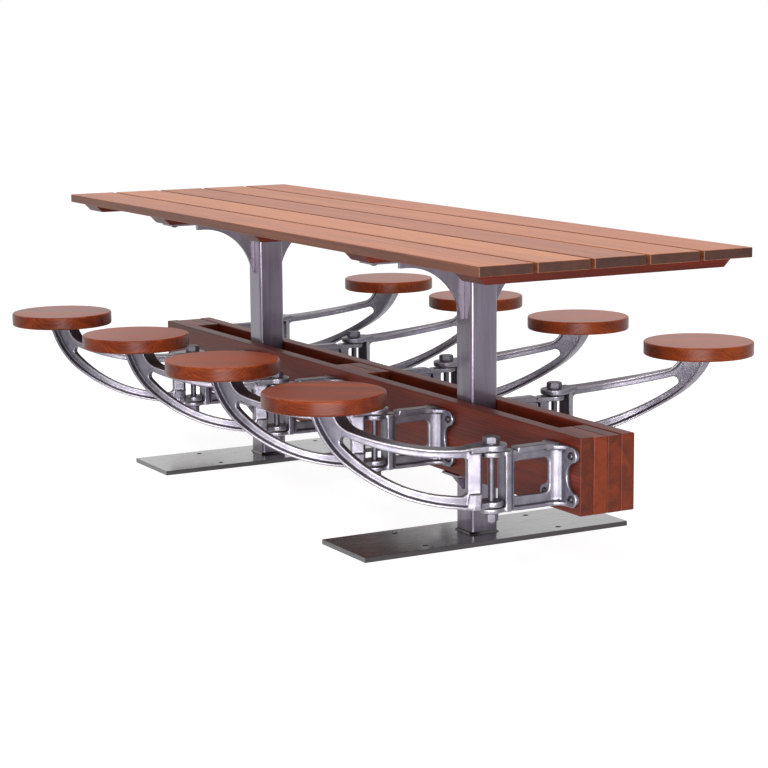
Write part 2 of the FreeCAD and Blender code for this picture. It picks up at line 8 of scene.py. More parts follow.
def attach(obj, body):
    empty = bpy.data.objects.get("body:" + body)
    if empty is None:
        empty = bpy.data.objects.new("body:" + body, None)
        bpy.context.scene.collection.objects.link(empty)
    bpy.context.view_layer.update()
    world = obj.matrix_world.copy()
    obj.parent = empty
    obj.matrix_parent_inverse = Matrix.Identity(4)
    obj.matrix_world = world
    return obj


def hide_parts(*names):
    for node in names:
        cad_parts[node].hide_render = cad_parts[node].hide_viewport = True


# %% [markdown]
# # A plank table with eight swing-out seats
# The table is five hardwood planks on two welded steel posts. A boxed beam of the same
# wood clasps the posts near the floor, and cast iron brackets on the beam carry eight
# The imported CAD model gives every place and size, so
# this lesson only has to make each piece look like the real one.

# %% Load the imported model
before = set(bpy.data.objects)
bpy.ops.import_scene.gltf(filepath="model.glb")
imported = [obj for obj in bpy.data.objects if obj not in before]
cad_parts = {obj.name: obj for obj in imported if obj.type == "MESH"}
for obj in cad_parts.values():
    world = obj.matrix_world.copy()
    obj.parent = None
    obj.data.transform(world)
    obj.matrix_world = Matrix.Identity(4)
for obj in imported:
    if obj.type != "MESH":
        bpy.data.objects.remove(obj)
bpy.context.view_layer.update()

# %% [markdown]
# ## The view
# The table is seen from beyond its right end, a little above the top, through a long
# lens. The numbers are a camera solved for the table's own corners: a place in metres,
# the way it looks, and the lens for a frame as high as it is wide.

# %% Camera
scene = bpy.context.scene
scene.view_settings.view_transform = "Standard"
VIEW_PLACE = Vector((5.1547, -2.7936, 1.2785))
HEADING, PITCH, ROLL = math.radians(150.983), math.radians(-9.459), math.radians(-0.468)
FOCUS_IN_FRAMES = 2164.23 / 768

lens = bpy.data.cameras.new("view")
lens.sensor_width = 36
lens.lens = 36 * FOCUS_IN_FRAMES
lens.clip_end = 100
viewer = bpy.data.objects.new("view", lens)
scene.collection.objects.link(viewer)
turn = Matrix.Rotation(HEADING - math.pi / 2, 4, "Z")
tilt = Matrix.Rotation(math.pi / 2 + PITCH, 4, "X")
viewer.matrix_world = Matrix.Translation(VIEW_PLACE) @ turn @ tilt @ Matrix.Rotation(ROLL, 4, "Z")
scene.camera = viewer
print(f"lens {lens.lens:.1f} mm")

# %% [markdown]
# ## Colours and nodes
# Finishes are written as the hex colours that a paint chart would give. Blender mixes
# light in linear values, so one function turns the first into the second. A second one
# adds a node with its settings, and its inputs as numbers or as links.


# %% Two helpers for finishes
def srgb(code):
    """A colour such as #8A4B33 as the linear values that a shader takes."""
    parts = [int(code[k : k + 2], 16) / 255 for k in (1, 3, 5)]
    return [p / 12.92 if p <= 0.04045 else ((p + 0.055) / 1.055) ** 2.4 for p in parts] + [1.0]


def add(tree, kind, inputs=(), **settings):
    """Add one node; an input is a value or another node's output."""
    node = tree.nodes.new(f"ShaderNode{kind}")
    for name, value in settings.items():
        setattr(node, name, value)
    for name, value in dict(inputs).items():
        if isinstance(value, bpy.types.NodeSocket):
            tree.links.new(value, node.inputs[name])
        else:
            node.inputs[name].default_value = value
    return node


def blank_finish(name):
    """An empty material with its output, ready for a surface."""
    finish = bpy.data.materials.new(name)
    finish.use_nodes = True
    finish.node_tree.nodes.clear()
    return finish, finish.node_tree, add(finish.node_tree, "OutputMaterial")


# %% [markdown]
# ## The studio
# The object stands on a white floor that runs out of sight. What the camera sees of it,
# and what metal mirrors, is plain white, so the floor glows for those rays. For the rest
# it is a pale matt floor that takes the table's shadow.

# %% Floor
FLOOR_SPAN = 60.0
floor_shape = bmesh.new()
bmesh.ops.create_grid(floor_shape, x_segments=1, y_segments=1, size=FLOOR_SPAN / 2)
floor_mesh = bpy.data.meshes.new("floor")
floor_shape.to_mesh(floor_mesh)
floor_shape.free()
floor = bpy.data.objects.new("floor", floor_mesh)
scene.collection.objects.link(floor)

white_floor, tree, out = blank_finish("white_studio_floor")
rays = add(tree, "LightPath")
seen = add(
    tree,
    "Math",
    {0: rays.outputs["Is Camera Ray"], 1: rays.outputs["Is Glossy Ray"]},
    operation="MAXIMUM",
)
seen = add(
    tree, "Math", {0: seen.outputs[0], 1: rays.outputs["Is Transmission Ray"]}, operation="MAXIMUM"
)
pale = add(tree, "BsdfDiffuse", {"Color": srgb("#A8A8A8")})
shade = add(tree, "BsdfDiffuse", {"Color": srgb("#B4B4B4")})
glow = add(tree, "Emission", {"Color": srgb("#FFFFFF"), "Strength": 0.88})
lit = add(tree, "AddShader", {0: shade.outputs[0], 1: glow.outputs[0]})
both = add(tree, "MixShader", {0: seen.outputs[0], 1: pale.outputs[0], 2: lit.outputs[0]})
tree.links.new(both.outputs[0], out.inputs["Surface"])
floor_mesh.materials.append(white_floor)

# %% [markdown]
# ### Lamps and cards
# Three panel lamps and the world light everything softly, at a level where a colour looks
# about as it is written. Metal shows what it mirrors more than what lights it, so three
# white cards stand beside the table, as in a studio. They are seen in reflections only,
# and two of them only by the castings, so that the wood does not turn pale.

# %% World and lamps
world = bpy.data.worlds.new("studio_room")
scene.world = world
world.use_nodes = True
room = world.node_tree
room.nodes.clear()
rays = add(room, "LightPath")
seen = add(
    room,
    "Math",
    {0: rays.outputs["Is Camera Ray"], 1: rays.outputs["Is Glossy Ray"]},
    operation="MAXIMUM",
)
seen = add(
    room, "Math", {0: seen.outputs[0], 1: rays.outputs["Is Transmission Ray"]}, operation="MAXIMUM"
)
soft = add(room, "Background", {"Color": srgb("#F6F5FA"), "Strength": 0.32})
white = add(room, "Background", {"Color": srgb("#FFFFFF"), "Strength": 1.0})
pick = add(room, "MixShader", {0: seen.outputs[0], 1: soft.outputs[0], 2: white.outputs[0]})
room_out = add(room, "OutputWorld", {"Surface": pick.outputs[0]})


def lamp(name, place, aim, width, height, power, colour):
    """A soft panel lamp, turned towards a point."""
    light = bpy.data.lights.new(name, "AREA")
    light.shape = "RECTANGLE"
    light.size = width
    light.size_y = height
    light.energy = power
    light.color = srgb(colour)[:3]
    item = bpy.data.objects.new(name, light)
    scene.collection.objects.link(item)
    away = Vector(place) - Vector(aim)
    item.visible_camera = False
    item.matrix_world = Matrix.Translation(place) @ away.to_track_quat(
        "Z", "Y"
    ).to_matrix().to_4x4()
    return item


CARD_WHITE, CASTINGS_MIDDLE = "#FFFFFF", (0.5, -0.3, 0.3)
lamp("low_panel", (4.75, -2.2, 0.45), (0.4, -0.3, 0.3), 3.4, 0.8, 130, "#FFFBFA")
wide_card = lamp("wide_card", (3.5, -1.55, 0.36), (0.3, -0.3, 0.25), 2.6, 0.7, 62, CARD_WHITE)
wide_card.visible_diffuse = False
castings = bpy.data.collections.new("castings")
CASTING_CARDS = [
    ("side_card", (1.85, -2.75, 0.28), 2.7, 0.8, 100),
    ("end_card", (4.3, -1.2, 0.36), 3.0, 1.2, 120),
]
for name, spot, width, height, power in CASTING_CARDS:
    card = lamp(name, spot, CASTINGS_MIDDLE, width, height, power, CARD_WHITE)
    card.visible_diffuse = False
    card.light_linking.receiver_collection = castings
lamp("key_panel", (4.2, -3.4, 3.8), (0.3, -0.2, 0.4), 1.6, 1.3, 62, "#FFFEFC")
lamp("top_panel", (0.2, -0.3, 4.2), (0.2, 0.0, 0.5), 4.0, 3.0, 118, "#FFFFFF")
print("lamps and cards:", len(bpy.data.lights))

# %% [markdown]
# ## From a drawn shape to a piece
# Every piece is drawn in millimetres about its own middle, because its grain and its
# symmetry are easiest there. When it is placed, three things are stored on its points
# first: where each was drawn, so that grain follows the board and not the room; how far
# it faces along the grain, because end grain drinks more oil and turns darker, and on the
# planks also how far it faces sideways, because their long edges get painted shade in the
# end grain's colour; and how pale its own board is, because no two boards match.

# %% Placing a piece
MM = 0.001
pieces_made = {}


def as_mesh(shape, name):
    """A closed bmesh, its doubles merged and its faces turned outwards, as a mesh."""
    bmesh.ops.remove_doubles(shape, verts=shape.verts, dist=0.001)
    bmesh.ops.recalc_face_normals(shape, faces=shape.faces)
    mesh = bpy.data.meshes.new(name)
    shape.to_mesh(mesh)
    shape.free()
    return mesh


def place_piece(
    name, mesh, finish, body, place=Matrix.Identity(4), stands_for=(), tone=0.0, sharp=40,
    weigh=True, painted_side_shade=0.0,
):
    """Put a mesh drawn in millimetres in its place, as a piece that rides on a body."""
    serial = len(pieces_made)
    shift = Vector((serial * 271.0 % 1900, serial * 83.0 % 700, serial * 57.0 % 500))
    for label, kind in (("drawn_at", "FLOAT_VECTOR"), ("grain_end_and_side_shade", "FLOAT"), ("tone", "FLOAT")):
        mesh.attributes.new(label, kind, "POINT")
    drawn, grain_end_and_side_shade, tones = (
        mesh.attributes[label].data for label in ("drawn_at", "grain_end_and_side_shade", "tone")
    )
    for number, vertex in enumerate(mesh.vertices):
        drawn[number].vector = vertex.co + shift
        # On the planks the long sides count towards this too: painted shade that darkens their
        # edges with the end grain colour.
        grain_end_and_side_shade[number].value = max(abs(vertex.normal.x), painted_side_shade * abs(vertex.normal.y))
        tones[number].value = tone
    mesh.shade_smooth()
    mesh.set_sharp_from_angle(angle=math.radians(sharp))
    mesh.transform(place @ Matrix.Scale(MM, 4))
    mesh.materials.clear()
    mesh.materials.append(finish)
    item = bpy.data.objects.new(name, mesh)
    scene.collection.objects.link(item)
    if weigh:
        item.modifiers.new("flat_faces_stay_flat", "WEIGHTED_NORMAL").keep_sharp = True
    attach(item, body)
    if stands_for:
        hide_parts(*stands_for)
    pieces_made[name] = sum(len(face.vertices) - 2 for face in mesh.polygons)
    return item


def at(x, y, z, degrees=0.0):
    """A place in metres for a shape drawn in millimetres, turned about the upright."""
    return Matrix.Translation(Vector((x, y, z)) * MM) @ Matrix.Rotation(
        math.radians(degrees), 4, "Z"
    )


# %% [markdown]
# ## Hardwood
# The planks, the beam and the seats are a dense red-brown hardwood such as jarrah, sawn,
# sanded and oiled. Its grain shows as long bands of lighter and darker wood, with fine
# dark pores drawn out along the board. The bands come from noise that is stretched along
# the grain, the pores from a finer one. Real pores are under half a millimetre wide, and
# they are drawn about 2 mm wide here, because finer ones would not show.

# %% Wood finishes
BAND_WIDTH, BAND_LENGTH = 34.0, 900.0
RING_STEP, RING_STRETCH = 5.0, 0.02
PORE_WIDTH, PORE_LENGTH = 2.2, 70.0


def oiled_wood(name, light, mid, dark, pore, end_and_side_shade_light, end_and_side_shade_dark, gloss, shine):
    """Oiled hardwood in three shades, with growth rings, pores and darker end grain."""
    finish, tree, out = blank_finish(name)
    drawn = add(tree, "Attribute", attribute_name="drawn_at").outputs["Vector"]
    along = add(
        tree,
        "VectorMath",
        {0: drawn, 1: (1 / BAND_LENGTH, 1 / BAND_WIDTH, 1 / BAND_WIDTH)},
        operation="MULTIPLY",
    )
    bands = add(
        tree,
        "TexNoise",
        {
            "Vector": along.outputs[0],
            "Scale": 1.0,
            "Detail": 5.0,
            "Roughness": 0.6,
            "Distortion": 0.8,
        },
    )
    round_heart = add(tree, "VectorMath", {0: drawn, 1: (RING_STRETCH, 1, 1)}, operation="MULTIPLY")
    rings = add(
        tree,
        "TexWave",
        {
            "Vector": round_heart.outputs[0],
            "Scale": 0.314 / RING_STEP,
            "Distortion": 14.0,
            "Detail": 4.0,
            "Detail Scale": 0.3,
            "Detail Roughness": 0.65,
        },
        wave_type="RINGS",
        rings_direction="X",
    )
    fine = add(
        tree,
        "VectorMath",
        {0: drawn, 1: (1 / PORE_LENGTH, 1 / PORE_WIDTH, 1 / PORE_WIDTH)},
        operation="MULTIPLY",
    )
    pores = add(
        tree,
        "TexNoise",
        {"Vector": fine.outputs[0], "Scale": 1.0, "Detail": 3.0, "Roughness": 0.55},
    )
    tone = add(tree, "Attribute", attribute_name="tone").outputs["Fac"]
    figure = add(tree, "Mix", {"Factor": 0.13, 2: bands.outputs["Fac"], 3: rings.outputs["Fac"]})
    level = add(tree, "Math", {0: tone, 1: 0.22, 2: figure.outputs[0]}, operation="MULTIPLY_ADD")
    ramp = add(tree, "ValToRGB", {"Fac": level.outputs[0]})
    ramp.color_ramp.elements[0].position = 0.28
    ramp.color_ramp.elements[0].color = srgb(dark)
    ramp.color_ramp.elements[1].position = 0.74
    ramp.color_ramp.elements[1].color = srgb(light)
    ramp.color_ramp.elements.new(0.5).color = srgb(mid)
    pits = add(
        tree,
        "MapRange",
        {
            "Value": pores.outputs["Fac"],
            "From Min": 0.56,
            "From Max": 0.74,
            "To Min": 0.0,
            "To Max": 0.6,
        },
    )
    body = add(
        tree,
        "Mix",
        {"Factor": pits.outputs[0], 6: ramp.outputs["Color"], 7: srgb(pore)},
        data_type="RGBA",
    )
    # Where a plank's long side faces sideways, this mask also lays the end grain colour on it as
    # painted shade.
    grain_end_and_side_shade = add(tree, "Attribute", attribute_name="grain_end_and_side_shade").outputs["Fac"]
    ends = add(
        tree,
        "MapRange",
        {"Value": grain_end_and_side_shade, "From Min": 0.55, "From Max": 0.95, "To Min": 0.0, "To Max": 0.9},
    )
    end_level = add(
        tree, "MapRange", {"Value": level.outputs[0], "From Min": 0.3, "From Max": 0.75}
    )
    end_grain_and_side_shade_colour = add(
        tree,
        "Mix",
        {"Factor": end_level.outputs[0], 6: srgb(end_and_side_shade_dark), 7: srgb(end_and_side_shade_light)},
        data_type="RGBA",
    )
    colour = add(
        tree,
        "Mix",
        {"Factor": ends.outputs[0], 6: body.outputs[2], 7: end_grain_and_side_shade_colour.outputs[2]},
        data_type="RGBA",
    )
    rough = add(
        tree,
        "MapRange",
        {"Value": bands.outputs["Fac"], "To Min": gloss - 0.06, "To Max": gloss + 0.10},
    )
    bump = add(
        tree,
        "Bump",
        {"Height": pores.outputs["Fac"], "Strength": 0.25, "Distance": 0.0004},
        invert=True,
    )
    surface = add(
        tree,
        "BsdfPrincipled",
        {
            "Base Color": colour.outputs[2],
            "Roughness": rough.outputs[0],
            "IOR": 1.5,
            "Specular IOR Level": shine,
            "Normal": bump.outputs[0],
        },
    )
    tree.links.new(surface.outputs[0], out.inputs["Surface"])
    return finish


# The planks' wood is paler than the beam's and the seats', partly its own colour and partly a
# painted sheen of the light that grazes the top.
planks_wood_with_sheen = oiled_wood(
    "oiled_jarrah_planks_with_painted_sheen", "#C47B4C", "#AA603A", "#864528", "#5C2D20", "#2C0F0E", "#1C0808", 0.42, 0.38
)
beam_wood = oiled_wood(
    "oiled_jarrah_beam", "#9A3E22", "#7E2E1B", "#5A2116", "#3A150E", "#843A20", "#4C2014", 0.40,
    0.20,
)
seat_wood = oiled_wood(
    "oiled_jarrah_seat", "#A2481A", "#803212", "#58200E", "#36140C", "#7A3216", "#481C0E", 0.31,
    0.17,
)

# %% [markdown]
# ## Cast iron and steel
# The brackets and arms are sand-cast iron, ground bright and sealed under clear lacquer.
# That gives a grey metal with a faint lilac cast, a little grain from the sand, and a
# soft gloss from the coat. The posts and plates are hot-rolled steel under the same
# lacquer, darker and streaked along the way they were rolled. The floor plates and the
# welds at the posts' feet are darker still, which is painted shade. Bolts are zinc plated
# and duller.

# %% Metal finishes
SAND_GRAIN = 2.2
MILL_STREAK = 5.0
# The brown for hollows is a painted reflection of the wood, with some painted shade; the pale edge
# colour is partly wear and partly a painted highlight.
HOLLOW_REFLECTION_AND_SHADE, EDGE_WEAR_AND_HIGHLIGHT = "#7A6259", "#C4BCC0"


def lacquered_metal(name, light, dark, rough, coat, grain, stretch, depth):
    """Bare metal under clear lacquer, clouded and grained as it was formed, with a painted
    reflection and painted shade in its hollows, and pale edges that are partly wear and partly
    painted highlight.
    """
    finish, tree, out = blank_finish(name)
    drawn = add(tree, "Attribute", attribute_name="drawn_at").outputs["Vector"]
    broad = add(
        tree,
        "VectorMath",
        {0: drawn, 1: tuple(1 / (s * 28.0) for s in stretch)},
        operation="MULTIPLY",
    )
    clouds = add(
        tree,
        "TexNoise",
        {"Vector": broad.outputs[0], "Scale": 1.0, "Detail": 4.0, "Roughness": 0.6},
    )
    small = add(
        tree,
        "VectorMath",
        {0: drawn, 1: tuple(1 / (s * grain) for s in stretch)},
        operation="MULTIPLY",
    )
    sand = add(
        tree,
        "TexNoise",
        {"Vector": small.outputs[0], "Scale": 1.0, "Detail": 2.0, "Roughness": 0.5},
    )
    blend = add(
        tree, "MapRange", {"Value": clouds.outputs["Fac"], "From Min": 0.3, "From Max": 0.7}
    )
    plain = add(
        tree, "Mix", {"Factor": blend.outputs[0], 6: srgb(dark), 7: srgb(light)}, data_type="RGBA"
    )
    ridge = add(tree, "Attribute", attribute_name="ridge").outputs["Fac"]
    # Hollows get a little brown: a painted reflection of the wood, with some painted shade.
    hollow_reflection_mask = add(
        tree,
        "MapRange",
        {"Value": ridge, "From Min": -0.05, "From Max": -0.7, "To Min": 0.0, "To Max": 0.2},
    )
    hollow_reflected = add(
        tree,
        "Mix",
        {"Factor": hollow_reflection_mask.outputs[0], 6: plain.outputs[2], 7: srgb(HOLLOW_REFLECTION_AND_SHADE)},
        data_type="RGBA",
    )
    # Convex edges turn pale: partly wear and partly a painted highlight.
    edge_wear_and_highlight_mask = add(
        tree,
        "MapRange",
        {"Value": ridge, "From Min": 0.08, "From Max": 0.6, "To Min": 0.0, "To Max": 0.85},
    )
    colour = add(
        tree,
        "Mix",
        {"Factor": edge_wear_and_highlight_mask.outputs[0], 6: hollow_reflected.outputs[2], 7: srgb(EDGE_WEAR_AND_HIGHLIGHT)},
        data_type="RGBA",
    )
    roughness = add(
        tree,
        "MapRange",
        {
            "Value": sand.outputs["Fac"],
            "From Min": 0.3,
            "From Max": 0.7,
            "To Min": rough - 0.05,
            "To Max": rough + 0.07,
        },
    )
    bump = add(tree, "Bump", {"Height": sand.outputs["Fac"], "Strength": 0.3, "Distance": depth})
    surface = add(
        tree,
        "BsdfPrincipled",
        {
            "Base Color": colour.outputs[2],
            "Roughness": roughness.outputs[0],
            "Metallic": 1.0,
            "Coat Weight": coat,
            "Coat Roughness": 0.12,
            "Normal": bump.outputs[0],
        },
    )
    tree.links.new(surface.outputs[0], out.inputs["Surface"])
    return finish


cast_iron = lacquered_metal(
    "clear_coated_cast_iron", "#76737C", "#5C5963", 0.42, 0.15, SAND_GRAIN, (1, 1, 1), 0.0005
)
rolled_steel = lacquered_metal(
    "clear_coated_rolled_steel", "#716876", "#564F5C", 0.38, 1.0, MILL_STREAK, (1, 1, 12), 0.0002
)
# The plate steel is much darker than the posts' steel, as painted shade for the dark underside of
# the table that the plates mirror.
darkened_plates_finish = lacquered_metal(
    "plate_finish_with_painted_shade", "#3F3A3E", "#2E2A2D", 0.30, 1.0, MILL_STREAK, (1, 12, 1), 0.0002
)
zinc = lacquered_metal("zinc_plated_steel", "#6B6870", "#4E4B54", 0.46, 0.0, 1.4, (1, 1, 1), 0.0002)
dark_zinc = lacquered_metal(
    "dark_zinc_plated_steel", "#5A565E", "#3E3B42", 0.30, 0.0, 1.4, (1, 1, 1), 0.0002
)

# %% [markdown]
# ## Planks and battens
# Each plank is one sawn board with its long edges eased by a router. A cube stretched to
# the board's size and bevelled on every edge is just that. The five battens below are
# cut back at 45 degrees at their lower ends, which a bisecting plane does as a saw would.


# %% Boards
def sawn_board(name, length, width, thick, ease):
    """A board with every edge eased."""
    shape = bmesh.new()
    bmesh.ops.create_cube(shape, size=1.0)
    bmesh.ops.scale(shape, vec=(length, width, thick), verts=shape.verts)
    bmesh.ops.bevel(
        shape, geom=shape.edges[:], offset=ease, affect="EDGES", segments=3, profile=0.5,
        material=-1,
    )
    return as_mesh(shape, name)


TOP, PLANK_LONG, PLANK_WIDE, PLANK_THICK, PLANK_STEP = 762.0, 2424.0, 139.7, 24.0, 150.6
PLANK_TONES = [-0.1, 0.5, -0.4, 0.15, 0.0]
for number, tone in enumerate(PLANK_TONES, start=1):
    mesh = sawn_board("plank", PLANK_LONG, PLANK_WIDE, PLANK_THICK, 2.4)
    place = at(0, (number - 3) * PLANK_STEP, TOP - PLANK_THICK / 2)
    # Each plank's long sides are darkened with the end grain colour, as painted shade.
    place_piece(
        f"plank_{number}", mesh, planks_wood_with_sheen, "table", place, [f"top_plank_{number}"],
        tone, painted_side_shade=0.8,
    )

BATTEN_HALF, BATTEN_WIDE, BATTEN_THICK, BATTEN_BLUNT = 346.0, 100.0, 24.0, 4.0
BATTEN_PLACES = [-1115.0, -597.0, 0.0, 597.0, 1115.0]
for number, x in enumerate(BATTEN_PLACES, start=1):
    shape = bmesh.new()
    bmesh.ops.create_cube(shape, size=1.0)
    bmesh.ops.scale(shape, vec=(BATTEN_HALF * 2, BATTEN_WIDE, BATTEN_THICK), verts=shape.verts)
    for side in (-1, 1):
        cut = bmesh.ops.bisect_plane(
            shape,
            geom=shape.verts[:] + shape.edges[:] + shape.faces[:],
            plane_co=(side * BATTEN_HALF, 0, BATTEN_THICK / 2 - BATTEN_BLUNT),
            plane_no=(side, 0, -1),
            clear_outer=True,
        )
        edges = [item for item in cut["geom_cut"] if isinstance(item, bmesh.types.BMEdge)]
        bmesh.ops.contextual_create(shape, geom=edges)
    bmesh.ops.bevel(
        shape, geom=shape.edges[:], offset=1.4, affect="EDGES", segments=2, profile=0.5, material=-1
    )
    place = at(x, 0, TOP - PLANK_THICK - BATTEN_THICK / 2, 90)
    mesh = as_mesh(shape, "batten")
    place_piece(
        f"batten_{number}", mesh, beam_wood, "table", place,
        [f"top_batten_{number}"], -0.7,
    )
print("planks and battens:", len(pieces_made), "pieces")

# %% [markdown]
# ## The beam
# Two long boards clasp the posts, with filler blocks between them at the ends and in the
# middle. At the end all four thicknesses show side by side. Each is its own board with
# its own grain, and the eased edges leave the thin dark joint lines.

# %% Beam boards and blocks
BEAM_LONG, BEAM_TALL, BEAM_PLANK, BEAM_LOW, POST_SIDE = 2336.0, 181.2, 36.9, 167.4, 76.2
SPACER = 38.1
for word, side, tone in (("front", -1, -0.35), ("back", 1, 0.1)):
    mesh = sawn_board("beam_board", BEAM_LONG, BEAM_PLANK, BEAM_TALL, 3.0)
    place = at(0, side * (POST_SIDE + BEAM_PLANK) / 2, BEAM_LOW + BEAM_TALL / 2)
    place_piece(
        f"beam_board_{word}", mesh, beam_wood, "table", place, [f"beam_plank_{word}"],
        tone,
    )

BLOCKS = [("left", -1094.0, 148.0), ("middle", 0.0, 178.0), ("right", 1094.0, 148.0)]
for spot, x, length in BLOCKS:
    for word, side, tone in (("front", -1, 0.75), ("back", 1, -0.1)):
        mesh = sawn_board("block", length, SPACER - 0.4, BEAM_TALL - 1.6, 2.4)
        place = at(x, side * SPACER / 2, BEAM_LOW + (BEAM_TALL - 1.6) / 2)
        place_piece(
            f"beam_block_{spot}_{word}", mesh, beam_wood, "table", place,
            ["beam_spacers"], tone,
        )

# %% [markdown]
# ## Outlines of plates
# A flat plate is its outline given thickness, as it would be cut from sheet. One tool
# carries the outline straight on, one bends it round an arc through two more points, and
# one fills it and pulls it to its thickness.


# %% Tools for flat outlines
def line_to(shape, start, *points):
    """Carry an edge line on from a point, straight to each next point of a side view."""
    for x, z in points:
        start = bmesh.ops.extrude_vert_indiv(shape, verts=[start])["verts"][0]
        start.co = (x, 0, z)
    return start


def bend_to(shape, start, through, end, steps):
    """Carry an edge line on round the arc through two more points of a side view."""
    a, b, c = Vector((start.co.x, start.co.z)), Vector(through), Vector(end)
    ab, ac = b - a, c - a
    cross = ab.x * ac.y - ab.y * ac.x
    middle = a + Vector(
        (ac.y * ab.dot(ab) - ab.y * ac.dot(ac), ab.x * ac.dot(ac) - ac.x * ab.dot(ab))
    ) / (2 * cross)
    first = math.atan2(*(a - middle).yx)
    sweep = math.copysign(1, cross) * (
        (math.copysign(1, cross) * (math.atan2(*(c - middle).yx) - first)) % (2 * math.pi)
    )
    turned = bmesh.ops.spin(
        shape, geom=[start], cent=(middle.x, 0, middle.y), axis=(0, -1, 0), angle=sweep, steps=steps
    )
    return [item for item in turned["geom_last"] if isinstance(item, bmesh.types.BMVert)][0]


def first_point(shape, x, z):
    return shape.verts.new((x, 0, z))


def pull(shape, way, faces=None):
    """Extrude faces some way, and give back the points that moved."""
    pulled = bmesh.ops.extrude_face_region(shape, geom=faces or shape.faces[:])
    moved = [item for item in pulled["geom"] if isinstance(item, bmesh.types.BMVert)]
    bmesh.ops.translate(shape, vec=way, verts=moved)
    return moved


def slab(shape, thick):
    """Fill closed edge lines and give them thickness, half on each side of the drawing."""
    bmesh.ops.remove_doubles(shape, verts=shape.verts, dist=0.01)
    bmesh.ops.triangle_fill(shape, use_beauty=True, use_dissolve=False, edges=shape.edges[:])
    pull(shape, (0, thick, 0))
    bmesh.ops.translate(shape, vec=(0, -thick / 2, 0), verts=shape.verts)
    bmesh.ops.recalc_face_normals(shape, faces=shape.faces)
    bmesh.ops.dissolve_limit(shape, angle_limit=0.01, verts=shape.verts, edges=shape.edges)
    return shape


def soften_edges(shape, width, segments=2, angle=30):
    """Bevel the edges where two faces meet at more than an angle."""
    keen = [edge for edge in shape.edges if edge.calc_face_angle(0) > math.radians(angle)]
    bmesh.ops.bevel(
        shape, geom=keen, offset=width, affect="EDGES", segments=segments, profile=0.5, material=-1
    )


# %% [markdown]
# ## The steel frame
# Each post is square tube with rounded corners, welded to a floor plate and to a flat
# crossbar. Its outline is a square whose corner points are bevelled, then extruded. A low
# sloping collar stands for the weld at its foot. The plates are cut flat and bevelled by
# a fraction, because a plasma-cut edge is dressed before lacquering.

# %% Posts, crossbars and floor plates
BASE_THICK, CROSSBAR_THICK, POST_X, WELD = 12.7, 6.4, 597.0, 7.0
POST_CORNER, WELD_CORNER = 7.2, 12.0
CROSSBAR_LONG, CROSSBAR_WIDE = 628.0, 63.5
POST_TOP = TOP - PLANK_THICK - BATTEN_THICK - CROSSBAR_THICK
for word, x in (("left", -POST_X), ("right", POST_X)):
    shape = bmesh.new()
    bmesh.ops.create_grid(shape, x_segments=1, y_segments=1, size=POST_SIDE / 2)
    bmesh.ops.bevel(
        shape, geom=shape.verts[:], offset=POST_CORNER, affect="VERTICES", segments=6, profile=0.5,
        material=-1,
    )
    pull(shape, (0, 0, POST_TOP - BASE_THICK))
    mesh = as_mesh(shape, "post")
    place_piece(
        f"post_tube_{word}", mesh, rolled_steel, "table", at(x, 0, BASE_THICK),
        [f"post_{word}"],
    )

    shape = bmesh.new()
    bmesh.ops.create_grid(shape, x_segments=1, y_segments=1, size=POST_SIDE / 2 + WELD)
    bmesh.ops.bevel(
        shape, geom=shape.verts[:], offset=WELD_CORNER, affect="VERTICES", segments=6, profile=0.5,
        material=-1,
    )
    moved = pull(shape, (0, 0, WELD))
    bmesh.ops.scale(shape, vec=(POST_SIDE / (POST_SIDE + 2 * WELD),) * 2 + (1,), verts=moved)
    soften_edges(shape, 1.6, angle=20)
    place_piece(
        f"post_weld_{word}",
        as_mesh(shape, "weld"),
        darkened_plates_finish,
        "table",
        at(x, 0, BASE_THICK - 0.5),
    )

    shape = bmesh.new()
    bmesh.ops.create_cube(shape, size=1.0)
    bmesh.ops.scale(shape, vec=(CROSSBAR_WIDE, CROSSBAR_LONG, CROSSBAR_THICK), verts=shape.verts)
    soften_edges(shape, 0.8)
    place = at(x, 0, POST_TOP + CROSSBAR_THICK / 2)
    place_piece(
        f"crossbar_{word}", as_mesh(shape, "crossbar"), rolled_steel, "table", place,
        [f"top_crossbar_{word}"],
    )

BASE_LONG, BASE_WIDE, ANCHOR_X, ANCHOR_Y, ANCHOR_RADIUS = 225.0, 767.0, 152.4, 390.0, 7.0
for word, x in (("left", -POST_X), ("right", POST_X)):
    shape = bmesh.new()
    corners = [
        (BASE_LONG / 2, BASE_WIDE / 2),
        (-BASE_LONG / 2, BASE_WIDE / 2),
        (-BASE_LONG / 2, -BASE_WIDE / 2),
        (BASE_LONG / 2, -BASE_WIDE / 2),
    ]
    start = first_point(shape, *corners[-1])
    line_to(shape, start, *corners)
    for across in (-1, 1):
        for along in (-1, 1):
            hole = Matrix.Translation(
                (across * ANCHOR_X / 2, 0, along * ANCHOR_Y / 2)
            ) @ Matrix.Rotation(math.pi / 2, 4, "X")
            bmesh.ops.create_circle(shape, segments=32, radius=ANCHOR_RADIUS, matrix=hole)
    slab(shape, BASE_THICK)
    soften_edges(shape, 0.9)
    bmesh.ops.rotate(
        shape, cent=(0, 0, 0), matrix=Matrix.Rotation(math.pi / 2, 3, "X"), verts=shape.verts
    )
    place = at(x, 0, BASE_THICK / 2)
    place_piece(
        f"floor_plate_{word}", as_mesh(shape, "floor_plate"), darkened_plates_finish, "table",
        place, [f"base_plate_{word}"],
    )

# %% [markdown]
# ### Gussets and shelves
# A gusset with a hollow quarter-round edge stiffens each side of the joint between post
# and crossbar. Lower down, the beam rests on small shelves, each with a rib below it.

